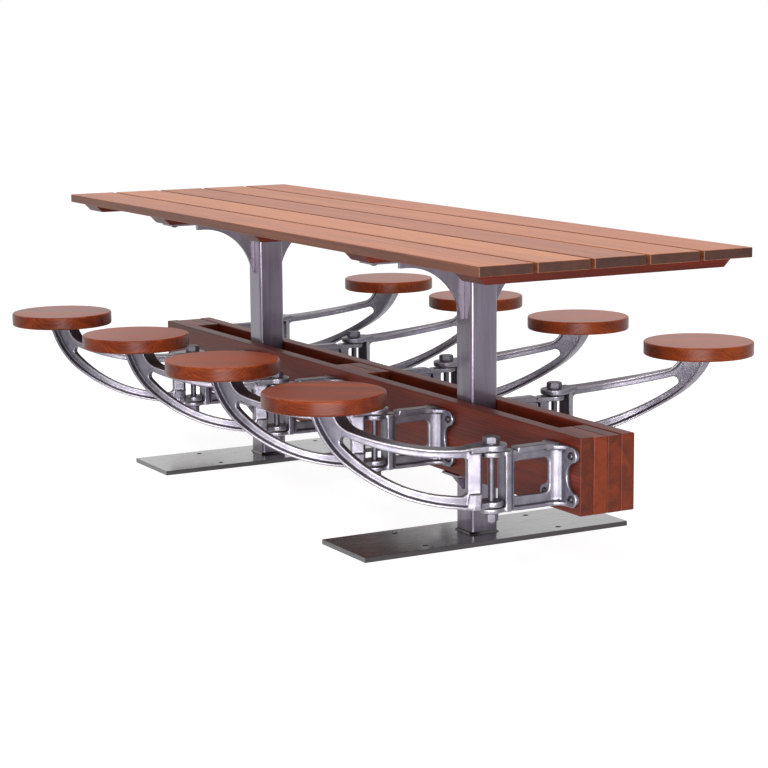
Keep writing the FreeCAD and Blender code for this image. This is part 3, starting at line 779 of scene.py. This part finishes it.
# %% Gussets and beam shelves
FACE = POST_SIDE / 2
GUSSET_REACH, GUSSET_DROP, GUSSET_TIP, GUSSET_THICK = 184, 154, 17, 9.5
GUSSET_LAND, GUSSET_FOOT, GUSSET_RADIUS = 163, 9, 156
SHELF_REACH, SHELF_WIDE, SHELF_THICK = 42, 76.2, 6
RIB_DROP, RIB_TOE, RIB_REACH = 38, 6, 36
lip, shelf_low = POST_TOP - GUSSET_TIP, BEAM_LOW - SHELF_THICK
for word, x in (("left", -POST_X), ("right", POST_X)):
    for row, heading in (("front", -90), ("back", 90)):
        shape = bmesh.new()
        start = first_point(shape, FACE, POST_TOP - GUSSET_DROP)
        tip = FACE + GUSSET_REACH
        end = line_to(
            shape, start, (FACE, POST_TOP), (tip, POST_TOP), (tip, lip), (FACE + GUSSET_LAND, lip)
        )
        centre = Vector((FACE + GUSSET_LAND, lip - GUSSET_RADIUS))
        foot_angle = math.pi - math.acos((GUSSET_LAND - GUSSET_FOOT) / GUSSET_RADIUS)
        middle_angle = (math.pi / 2 + foot_angle) / 2
        through = centre + GUSSET_RADIUS * Vector((math.cos(middle_angle), math.sin(middle_angle)))
        foot = centre + GUSSET_RADIUS * Vector((math.cos(foot_angle), math.sin(foot_angle)))
        end = bend_to(shape, end, through, foot, 28)
        line_to(
            shape, end, (FACE + GUSSET_FOOT, POST_TOP - GUSSET_DROP), (FACE, POST_TOP - GUSSET_DROP)
        )
        slab(shape, GUSSET_THICK)
        soften_edges(shape, 0.8)
        mesh = as_mesh(shape, "gusset")
        place = at(x, 0, 0, heading)
        place_piece(
            f"gusset_{word}_{row}", mesh, rolled_steel, "table", place,
            ["post_gussets"],
        )

        shape = bmesh.new()
        bmesh.ops.create_cube(shape, size=1.0)
        bmesh.ops.scale(shape, vec=(SHELF_REACH, SHELF_WIDE, SHELF_THICK), verts=shape.verts)
        middle = (FACE + SHELF_REACH / 2, 0, BEAM_LOW - SHELF_THICK / 2)
        bmesh.ops.translate(shape, vec=middle, verts=shape.verts)
        soften_edges(shape, 0.8)
        rib = bmesh.new()
        rib_low = BEAM_LOW - (SHELF_THICK + RIB_DROP)
        start = first_point(rib, FACE, shelf_low)
        corners = [
            (FACE, rib_low),
            (FACE + RIB_TOE, rib_low),
            (FACE + RIB_REACH, shelf_low),
            (FACE, shelf_low),
        ]
        line_to(rib, start, *corners)
        slab(rib, SHELF_THICK)
        soften_edges(rib, 0.8)
        extra = as_mesh(rib, "rib")
        shape.from_mesh(extra)
        bpy.data.meshes.remove(extra)
        mesh = as_mesh(shape, "shelf")
        place_piece(
            f"beam_shelf_{word}_{row}", mesh, rolled_steel, "table", place,
            ["beam_tabs"],
        )
print("steel frame done:", len(pieces_made), "pieces")

# %% [markdown]
# ## Castings
# A casting is one flowing skin: ribs melt into each other over small fillets, and no
# edge is keen, because sand would not hold it. So each casting is first drawn as plain
# closed shapes that overlap, then a fine voxel skin fuses them and a few rounds of
# smoothing melt the corners. The arm and the bracket are made once and copied.

# %% Fuse shapes into a casting
VOXEL, ROUNDS, KEEP = 1.3, 20, 0.5


def mark_ridges(mesh):
    """Store how far each point stands out from its neighbours: + on edges, - in hollows."""
    skin = bmesh.new()
    skin.from_mesh(mesh)
    rises = []
    for vert in skin.verts:
        near = [edge.other_vert(vert).co for edge in vert.link_edges]
        middle = sum(near, Vector()) / len(near)
        spread = sum((spot - vert.co).length for spot in near) / len(near)
        rises.append((vert.co - middle).dot(vert.normal) / spread)
    around = [[edge.other_vert(vert).index for edge in vert.link_edges] for vert in skin.verts]
    skin.free()
    for turn in range(3):
        rises = [
            (rises[k] + sum(rises[n] for n in near)) / (1 + len(near))
            for k, near in enumerate(around)
        ]
    mesh.attributes.new("ridge", "FLOAT", "POINT")
    for number, rise in enumerate(rises):
        mesh.attributes["ridge"].data[number].value = 3.0 * rise


def fuse_casting(name, shapes):
    """One skin round overlapping closed shapes, softened as sand and grinding leave it."""
    whole = bmesh.new()
    for shape in shapes:
        part = as_mesh(shape, "part")
        whole.from_mesh(part)
        bpy.data.meshes.remove(part)
    mesh = bpy.data.meshes.new(name)
    whole.to_mesh(mesh)
    whole.free()
    item = bpy.data.objects.new(name, mesh)
    scene.collection.objects.link(item)
    skin = item.modifiers.new("skin", "REMESH")
    skin.mode = "VOXEL"
    skin.voxel_size = VOXEL
    melt = item.modifiers.new("melt", "SMOOTH")
    melt.factor = 0.5
    melt.iterations = ROUNDS
    thin = item.modifiers.new("thin", "DECIMATE")
    thin.ratio = KEEP
    fused = bpy.data.meshes.new_from_object(
        item.evaluated_get(bpy.context.evaluated_depsgraph_get())
    )
    bpy.data.objects.remove(item)
    bpy.data.meshes.remove(mesh)
    mark_ridges(fused)
    print(f"{name}: {len(fused.polygons)} faces")
    return fused


def rim(line, thick, width):
    """A flange that follows an edge line, its thickness laid to the line's right."""
    drawn = bmesh.new()
    start = first_point(drawn, *line[0])
    for run in line[1:]:
        start = bend_to(drawn, start, run[0], run[1], run[2])
    pulled = bmesh.ops.extrude_edge_only(drawn, edges=drawn.edges[:])
    moved = [item for item in pulled["geom"] if isinstance(item, bmesh.types.BMVert)]
    bmesh.ops.translate(drawn, vec=(0, width, 0), verts=moved)
    bmesh.ops.translate(drawn, vec=(0, -width / 2, 0), verts=drawn.verts)
    bmesh.ops.solidify(drawn, geom=drawn.faces[:], thickness=thick)
    return drawn


def upright_block(points, low, high, arc=None):
    """A block drawn in plan; an arc (angle, steps) about the bolt can be its hollow side."""
    drawn = bmesh.new()
    start = drawn.verts.new((*points[0], low))
    if arc:
        angle, steps = arc
        turned = bmesh.ops.spin(
            drawn,
            geom=[start],
            cent=(0, 0, low),
            axis=(0, 0, 1),
            angle=math.radians(angle),
            steps=steps,
        )
        end = [item for item in turned["geom_last"] if isinstance(item, bmesh.types.BMVert)][0]
    else:
        end = start
    for x, y in points[1:]:
        end = bmesh.ops.extrude_vert_indiv(drawn, verts=[end])["verts"][0]
        end.co = (x, y, low)
    drawn.edges.new((end, start))
    bmesh.ops.triangle_fill(drawn, use_beauty=True, use_dissolve=False, edges=drawn.edges[:])
    pull(drawn, (0, 0, high - low))
    return drawn


def round_ear(radius, low, high, heading=0, tail=((47, -16), (47, 16))):
    """A ring about the bolt, drawn in to the casting behind it."""
    angle = math.radians(heading + 60)
    drawn = bmesh.new()
    start = drawn.verts.new((radius * math.cos(angle), radius * math.sin(angle), low))
    turned = bmesh.ops.spin(
        drawn, geom=[start], cent=(0, 0, low), axis=(0, 0, 1), angle=math.radians(240), steps=40
    )
    last = [item for item in turned["geom_last"] if isinstance(item, bmesh.types.BMVert)][0]
    for px, py in tail:
        last = bmesh.ops.extrude_vert_indiv(drawn, verts=[last])["verts"][0]
        last.co = (px, py, low)
    drawn.edges.new((last, start))
    bmesh.ops.create_circle(drawn, segments=32, radius=9.2, matrix=Matrix.Translation((0, 0, low)))
    bmesh.ops.triangle_fill(drawn, use_beauty=True, use_dissolve=False, edges=drawn.edges[:])
    pull(drawn, (0, 0, high - low))
    return drawn


# %% [markdown]
# ### The swing arm
# The arm is two rails with a web between them, pierced by a long window. Seen from above
# it is bowed to one side, so that the folded seat clears the next hinge. Its outline is
# drawn straight, cut into short lengths, and then bent round the bow as one piece.

# %% Swing arm
PAD_LOW, PAD_THICK, PAD_RADIUS = 417.5, 7.8, 62
ARM_REACH, ARM_WIDE, ARM_WEB = 379.0, 43.0, 16.0
BOW_REACH, BOW_DEPTH, BOW_SPREAD = 184.0, 74.6, 500.0
UPPER_RAIL = [
    (39, 345.2),
    ((56, 343.4), (78, 343.2), 4),
    ((122, 345.6), (170, 351.3), 8),
    ((240, 363.6), (305, 380.5), 10),
    ((325, 391.2), (341.5, 419), 10),
]
LOWER_RAIL = [
    (39, 201.3),
    ((56, 202.8), (76, 206.6), 4),
    ((128, 216.6), (182, 231.5), 8),
    ((250, 260.8), (312, 297.5), 12),
    ((372, 356), (402, 419), 14),
]


def beside(reach, offset):
    """A point beside the arm's bowed centre line, as seen from above."""
    along = reach - BOW_REACH
    heading = math.atan(-2 * along / BOW_SPREAD)
    side = BOW_DEPTH - along**2 / BOW_SPREAD
    return reach - offset * math.sin(heading), side + offset * math.cos(heading)


def bend_round_bow(shape):
    """Cut a straight-drawn shape into short lengths and bend them round the bow."""
    for reach in range(48, 408, 9):
        everything = shape.verts[:] + shape.edges[:] + shape.faces[:]
        bmesh.ops.bisect_plane(shape, geom=everything, plane_co=(reach, 0, 0), plane_no=(1, 0, 0))
    for vert in shape.verts:
        vert.co.xy = beside(*vert.co.xy)
    return shape


web = bmesh.new()
start = first_point(web, 41, 339)
end = bend_to(web, start, (105, 341.5), (170, 348.2), 10)
end = bend_to(web, end, (240, 360.5), (306, 378), 10)
end = bend_to(web, end, (327.5, 389.5), (344.5, PAD_LOW + 3), 8)
end = line_to(web, end, (399, PAD_LOW + 3))
end = bend_to(web, end, (369.5, 358.5), (310, 300.5), 14)
end = bend_to(web, end, (249, 263.8), (181.5, 234.5), 12)
end = bend_to(web, end, (109.5, 216), (41, 206.5), 10)
line_to(web, end, (41, 339))
start = first_point(web, 51.5, 250)
end = line_to(web, start, (51.5, 305))
end = bend_to(web, end, (55.5, 317), (67, 320.5), 6)
end = line_to(web, end, (88, 321.3))
end = bend_to(web, end, (205, 334.5), (316, 360.5), 14)
end = bend_to(web, end, (331.5, 360.5), (334.5, 345), 8)
end = bend_to(web, end, (225, 273.5), (88, 235.3), 16)
end = line_to(web, end, (66, 232))
bend_to(web, end, (55.5, 236), (51.5, 250), 6)
slab(web, ARM_WEB)

pad = bmesh.new()
bmesh.ops.create_circle(
    pad,
    cap_ends=True,
    segments=72,
    radius=PAD_RADIUS,
    matrix=Matrix.Translation((ARM_REACH, 0, PAD_LOW)),
)
pull(pad, (0, 0, PAD_THICK))

FOOT_TOP, CROWN_RISE, CROWN_DRAWN_IN = 213, 24, (0.9, 0.86, 1)
foot = upright_block([(20, 26), (50, 36), (49, 60), (34, 58.5), (19, 51)], 201, FOOT_TOP)
top_faces = [face for face in foot.faces if face.calc_center_median().z > FOOT_TOP - 1]
crown = pull(foot, (0, 0, CROWN_RISE), top_faces)
bmesh.ops.scale(foot, vec=CROWN_DRAWN_IN, verts=crown)

arm_tail = (beside(50, -ARM_WIDE / 2), beside(50, ARM_WIDE / 2))
arm_shapes = [
    bend_round_bow(web),
    bend_round_bow(rim(UPPER_RAIL, -6.5, ARM_WIDE)),
    bend_round_bow(rim(LOWER_RAIL, 7.0, ARM_WIDE)),
    pad,
    foot,
    upright_block(
        [(18.5, 23.6), (31, 12), (40, 0), beside(53, -8), beside(53, 9), (20, 40.5)], 201, 337
    ),
    round_ear(36, 331, 345.5, 28, arm_tail),
    round_ear(28, 201, 214.5, 28, arm_tail),
]
arm_mesh = fuse_casting("swing_arm", arm_shapes)

# %% [markdown]
# ### The hinge bracket
# The bracket is a short windowed web between two flanges. Its plate has a lobe at each
# corner for a screw, with a waist scooped out between them. Its own upright panel stands
# on the other side of the bolt, so the arm's panel can swing past it.

# %% Hinge bracket
PLATE_FRONT, PLATE_THICK, RAIL_WIDE, WEB = 179.2, 11.5, 32.0, 10.0
web = bmesh.new()
start = first_point(web, 42, 188)
line_to(web, start, (182, 188), (182, 329), (42, 326), (42, 188))
for cx, cz, quarter in ((67, 229, 180), (142, 229, 270), (142, 286, 0), (67, 286, 90)):
    a = math.radians(quarter)
    start = first_point(web, cx + 12 * math.cos(a), cz + 12 * math.sin(a))
    through = (cx + 12 * math.cos(a + 0.785), cz + 12 * math.sin(a + 0.785))
    finish = (cx + 12 * math.cos(a + 1.5708), cz + 12 * math.sin(a + 1.5708))
    end = bend_to(web, start, through, finish, 6)
    step = {180: (142, 217), 270: (154, 286), 0: (67, 298), 90: (55, 229)}[quarter]
    line_to(web, end, step)
slab(web, WEB)

low_rail = bmesh.new()
start = first_point(low_rail, 39, 187)
line_to(
    low_rail, start, (60, 185.5), (181, 185.5), (181, 202), (177, 202), (170, 195), (52, 195),
    (52, 188), (39, 187),
)
slab(low_rail, RAIL_WIDE)
top_rail = bmesh.new()
start = first_point(top_rail, 39, 326.5)
line_to(
    top_rail, start, (58, 326.5), (59.5, 321), (61.5, 321), (63, 332), (170, 332), (181, 329),
    (181, 312), (177, 312), (170, 320), (62, 317), (52, 314), (39, 314), (39, 326.5),
)
slab(top_rail, RAIL_WIDE)
post_rib = bmesh.new()
start = first_point(post_rib, 39, 187)
line_to(post_rib, start, (52.5, 187), (52.5, 322), (42, 322), (39, 187))
slab(post_rib, RAIL_WIDE)

plate = bmesh.new()
LOBE_X, LOBE_HIGH, LOBE_LOW, LOBE_RADIUS = 54.0, 306.0, 205.0, 20.0
slant = LOBE_RADIUS * math.sqrt(0.5)
lobe_out, lobe_up = LOBE_RADIUS * 0.924, LOBE_RADIUS * 0.383
start = first_point(plate, LOBE_X, LOBE_LOW - LOBE_RADIUS)
end = bend_to(
    plate, start, (LOBE_X + lobe_out, LOBE_LOW - lobe_up), (LOBE_X + slant, LOBE_LOW + slant), 12
)
end = bend_to(plate, end, (36, 255.5), (LOBE_X + slant, LOBE_HIGH - slant), 14)
end = bend_to(
    plate, end, (LOBE_X + lobe_out, LOBE_HIGH + lobe_up), (LOBE_X, LOBE_HIGH + LOBE_RADIUS), 12
)
end = line_to(plate, end, (-LOBE_X, LOBE_HIGH + LOBE_RADIUS))
end = bend_to(
    plate, end, (-LOBE_X - lobe_out, LOBE_HIGH + lobe_up), (-LOBE_X - slant, LOBE_HIGH - slant), 12
)
end = bend_to(plate, end, (-36, 255.5), (-LOBE_X - slant, LOBE_LOW + slant), 14)
end = bend_to(
    plate, end, (-LOBE_X - lobe_out, LOBE_LOW - lobe_up), (-LOBE_X, LOBE_LOW - LOBE_RADIUS), 12
)
line_to(plate, end, (LOBE_X, LOBE_LOW - LOBE_RADIUS))
slab(plate, PLATE_THICK)
bmesh.ops.rotate(
    plate, cent=(0, 0, 0), matrix=Matrix.Rotation(math.pi / 2, 3, "Z"), verts=plate.verts
)
bmesh.ops.translate(plate, vec=(PLATE_FRONT + PLATE_THICK / 2, 0, 0), verts=plate.verts)

cove = upright_block(
    [
        (157, -5), (165, -6.5), (172, -10), (177, -16), (182, -20), (182, 20), (177, 16), (172, 10),
        (165, 6.5), (157, 5),
    ],
    190,
    328,
)
FLARE = [
    (140, -16), (158, -18), (170, -24), (176, -32), (180, -42), (184, -42), (184, 42), (180, 42),
    (176, 32), (170, 24), (158, 18), (140, 16),
]
bracket_shapes = [
    cove,
    upright_block(FLARE, 317, 327.5),
    upright_block(FLARE, 186, 196),
    web,
    low_rail,
    top_rail,
    post_rib,
    plate,
    upright_block([(25.38, 16), (25, -24), (40, -24), (47, -16), (47, 16)], 187, 327, (-65.6, 12)),
    round_ear(26, 315.5, 328),
    round_ear(26, 187, 198.5),
]
bracket_mesh = fuse_casting("hinge_bracket", bracket_shapes)

# %% [markdown]
# ## Seats
# Each seat is a disc of the same hardwood, turned and rounded over at both rims. A filled
# circle is extruded to its thickness, and the rim edges get a wide bevel.

# %% Seat disc
SEAT_RADIUS, SEAT_THICK, SEAT_TOP = 142.4, 35.5, 461.0


def seat_disc():
    shape = bmesh.new()
    bmesh.ops.create_circle(shape, cap_ends=True, segments=128, radius=SEAT_RADIUS)
    pull(shape, (0, 0, SEAT_THICK))
    rims = [edge for edge in shape.edges if edge.calc_face_angle(0) > 1]
    bmesh.ops.bevel(
        shape, geom=rims, offset=4.5, affect="EDGES", segments=5, profile=0.5, material=-1
    )
    return as_mesh(shape, "seat")


# %% [markdown]
# ## Bolts, nuts and screws
# The hinge bolt has a hex head whose top corners are turned off to a chamfer. That shape
# is a six-sided prism cut by a cone, so a boolean makes it. The bracket's screws are pan
# heads with a cross recess, turned by a spin and cut with a cross.


# %% Turned and hexagonal shapes
def turned(profile, steps=48):
    """A closed shape turned about the upright from points of its half section."""
    shape = bmesh.new()
    last = shape.verts.new((profile[0][0], 0, profile[0][1]))
    for x, z in profile[1:]:
        last = bmesh.ops.extrude_vert_indiv(shape, verts=[last])["verts"][0]
        last.co = (x, 0, z)
    bmesh.ops.spin(
        shape, geom=shape.verts[:] + shape.edges[:], cent=(0, 0, 0), axis=(0, 0, 1), angle=math.tau,
        steps=steps, use_merge=True,
    )
    return as_mesh(shape, "turned")


def prism(sides, radius, low, high):
    shape = bmesh.new()
    bmesh.ops.create_circle(
        shape, cap_ends=True, segments=sides, radius=radius, matrix=Matrix.Translation((0, 0, low))
    )
    pull(shape, (0, 0, high - low))
    return as_mesh(shape, "prism")


def combine(first, second, operation):
    """The boolean of two closed meshes, as a new mesh."""
    items = [bpy.data.objects.new("cut", mesh) for mesh in (first, second)]
    for item in items:
        scene.collection.objects.link(item)
    rule = items[0].modifiers.new("cut", "BOOLEAN")
    rule.operation = operation
    rule.solver = "EXACT"
    rule.object = items[1]
    made = bpy.data.meshes.new_from_object(
        items[0].evaluated_get(bpy.context.evaluated_depsgraph_get())
    )
    for item in items:
        bpy.data.objects.remove(item)
    return made


def joined(*meshes):
    """Several closed meshes as one."""
    whole = bmesh.new()
    for mesh in meshes:
        whole.from_mesh(mesh)
    result = bpy.data.meshes.new("joined")
    whole.to_mesh(result)
    whole.free()
    return result


def hex_block(radius, low, high, flat_top=True, flat_under=False):
    """A hexagon with its corners turned off at one or both faces."""
    edge = radius * 0.30
    profile = [(0, low - 0.01)]
    profile += [
        (radius * 0.86, low - 0.01), (radius * 1.02, low + edge * 0.45)
    ] if flat_under else [(radius * 1.02, low - 0.01)]
    profile += [
        (radius * 1.02, high - edge * 0.45), (radius * 0.86, high + 0.01)
    ] if flat_top else [(radius * 1.02, high + 0.01)]
    profile += [(0, high + 0.01)]
    return combine(prism(6, radius, low, high), turned(profile), "INTERSECT")


def washer(inner, outer, low, high):
    return turned(
        [
            (inner, low), (outer - 0.4, low), (outer, low + 0.4), (outer, high - 0.4),
            (outer - 0.4, high), (inner, high), (inner, low),
        ]
    )


# %% [markdown]
# ### One of each
# The bolt is a spun shank with a hex head and a washer, and the nut has its own washer. A
# pan screw is a spun dome, from which two bars at right angles cut the cross. Each is made
# once here and copied to every place that needs it.

# %% Hinge bolt, nut and screw heads
BOLT = 7.94
bolt_mesh = joined(
    hex_block(20.0, 348.0, 361.8),
    washer(BOLT, 19.0, 345.6, 348.2),
    turned([(0, 160.2), (4.6, 160.4), (6.8, 161.6), (BOLT, 164.0), (BOLT, 349.0), (0, 349.0)]),
)
spacer_mesh = washer(BOLT + 0.3, 19.0, 328.2, 330.8)
nut_mesh = joined(hex_block(16.2, 166.4, 184.6, True, True), washer(BOLT + 0.1, 18.4, 184.2, 186.9))

dome = [(0, -0.5), (9.0, -0.5), (9.2, 1.2), (8.6, 3.4), (6.8, 5.0), (4.0, 5.8), (0, 6.0)]
pan_mesh = turned(dome, 32)


def cross_bar(angle):
    """One bar of the cross that is cut into a screw's head."""
    bar = bmesh.new()
    bmesh.ops.create_cube(bar, size=1.0)
    bmesh.ops.scale(bar, vec=(9.4, 2.2, 5.0), verts=bar.verts)
    bmesh.ops.rotate(
        bar, cent=(0, 0, 0), matrix=Matrix.Rotation(math.radians(angle), 3, "Z"), verts=bar.verts
    )
    bmesh.ops.translate(bar, vec=(0, 0, 5.4), verts=bar.verts)
    return as_mesh(bar, "bar")


for angle in (0, 90):
    pan_mesh = combine(pan_mesh, cross_bar(angle), "DIFFERENCE")
print("pan screw:", len(pan_mesh.polygons), "faces")

# %% [markdown]
# ## Eight stations
# Each station is the same set of pieces about one hinge bolt. The bracket points in to
# the beam, and the arm out to its seat, folded back by its own angle at rest.

# %% Place the stations
HINGES = [
    ("front_1", -1, 32.2),
    ("front_2", 0, 34.1),
    ("front_3", 1, 36.4),
    ("front_4", 2, 35.3),
    ("back_1", -2, 18.3),
    ("back_2", -1, 17.4),
    ("back_3", 0, 19.8),
    ("back_4", 1, 23.2),
]
SEAT_TONES = {
    "front_1": 0.1, "front_2": 0.3, "front_3": 0.2, "front_4": -0.1, "back_1": 0.4, "back_2": 0.2,
    "back_3": 0.5, "back_4": 0.6,
}
HINGE_STEP, HINGE_Y = 546.0, 265.7
for name, step, fold in HINGES:
    facing = -1 if name.startswith("front") else 1
    x, y = step * HINGE_STEP, facing * HINGE_Y
    inward, outward = -90 * facing, 90 * facing - fold
    arm = f"seat_arm_{name}"
    bracket = place_piece(
        f"bracket_{name}", bracket_mesh.copy(), cast_iron, "table",
        at(x, y, 0, inward), [f"hinge_bracket_{name}"], sharp=180, weigh=False,
    )
    casting = place_piece(
        f"arm_{name}", arm_mesh.copy(), cast_iron, arm, at(x, y, 0, outward),
        [f"swing_arm_{name}"], sharp=180, weigh=False,
    )
    castings.objects.link(casting)
    castings.objects.link(bracket)
    place_piece(
        f"bolt_{name}", bolt_mesh.copy(), zinc, "table", at(x, y, 0, inward),
        ["hinge_bolts"],
    )
    place_piece(
        f"thrust_washer_{name}", spacer_mesh.copy(), zinc, "table", at(x, y, 0, inward)
    )
    place_piece(
        f"nut_{name}", nut_mesh.copy(), zinc, "table", at(x, y, 0, inward),
        ["hinge_nuts"],
    )
    seat_x = x + ARM_REACH * math.cos(math.radians(outward))
    seat_y = y + ARM_REACH * math.sin(math.radians(outward))
    place_piece(
        f"seat_disc_{name}",
        seat_disc(),
        seat_wood,
        arm,
        at(seat_x, seat_y, SEAT_TOP - SEAT_THICK, outward),
        [f"seat_{name}"],
        SEAT_TONES[name],
    )
    for row, z in (("low", LOBE_LOW), ("high", LOBE_HIGH)):
        for word, side in (("left", -1), ("right", 1)):
            lean = Matrix.Translation(
                Vector((PLATE_FRONT, side * LOBE_X, z)) * MM
            ) @ Matrix.Rotation(-math.pi / 2, 4, "Y")
            place_piece(
                f"screw_{name}_{row}_{word}",
                pan_mesh.copy(),
                dark_zinc,
                "table",
                at(x, y, 0, inward) @ lean,
            )

# %% [markdown]
# ### Screws from below
# The crossbars are screwed to the battens, and the shelves to the beam, from below, where
# the heads are out of sight. The same pan head is turned over.

# %% Screws that hold the wood to the frame from below
UNDER = Matrix.Rotation(math.pi, 4, "X")
CROSSBAR_SCREW_Y, SHELF_SCREW_X, SHELF_SCREW_OUT = 291, 22, 24
for word, x in (("left", -POST_X), ("right", POST_X)):
    for row, side in (("front", -1), ("back", 1)):
        in_crossbar = at(x, side * CROSSBAR_SCREW_Y, POST_TOP) @ UNDER
        in_shelf = at(x + SHELF_SCREW_X, side * (FACE + SHELF_SCREW_OUT), shelf_low) @ UNDER
        for spot, place in (("crossbar", in_crossbar), ("shelf", in_shelf)):
            name = f"{spot}_screw_{word}_{row}"
            place_piece(name, pan_mesh.copy(), dark_zinc, "table", place)
print(
    "screws from below:",
    sum(name.startswith(("crossbar_screw", "shelf_screw")) for name in pieces_made),
)

# %% [markdown]
# ## Count the pieces
# The last cell prints how many pieces were made and how many triangles they have.

# %% Finish
print(len(pieces_made), "pieces,", sum(pieces_made.values()), "triangles")
